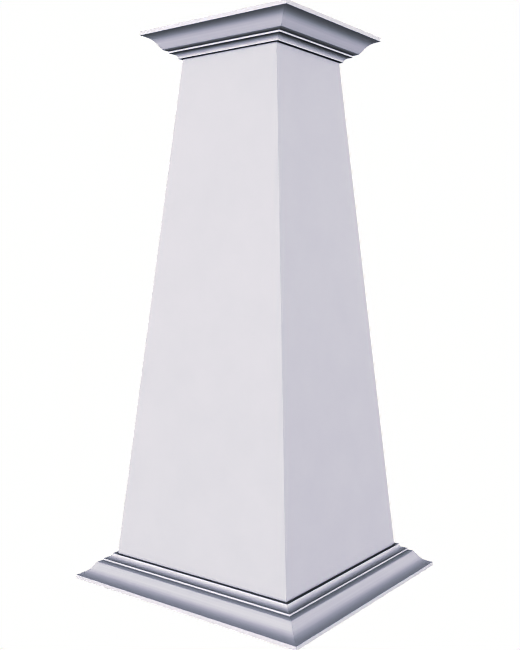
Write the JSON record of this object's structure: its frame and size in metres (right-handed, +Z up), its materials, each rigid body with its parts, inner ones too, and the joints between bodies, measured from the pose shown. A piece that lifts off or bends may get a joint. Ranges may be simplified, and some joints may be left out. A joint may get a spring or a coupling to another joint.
{
  "type": "tapered square porch column wrap",
  "caption": "Hollow tapered square column wrap of mitred panels, with crown moulding round its head and the same moulding turned over round its foot.",
  "frame": {"origin": "on the floor, in the middle of the foot: the bottom centre of the bounding box", "axes": "+Z up along the column's axis, -Y out of the front face, +X out of the right face"},
  "size_m": [0.6418, 0.6418, 1.312],
  "materials": {
    "shaft": "satin off-white cellular vinyl sheet",
    "capital": "semi-gloss off-white extruded vinyl moulding",
    "base": "semi-gloss off-white extruded vinyl moulding"
  },
  "bodies": {
    "root": {"shaft_panel_front": "shaft", "shaft_panel_right": "shaft", "shaft_panel_back": "shaft", "shaft_panel_left": "shaft", "capital_moulding_front": "capital", "capital_moulding_right": "capital", "capital_moulding_back": "capital", "capital_moulding_left": "capital", "base_moulding_front": "base", "base_moulding_right": "base", "base_moulding_back": "base", "base_moulding_left": "base"}
  },
  "joints": []
}
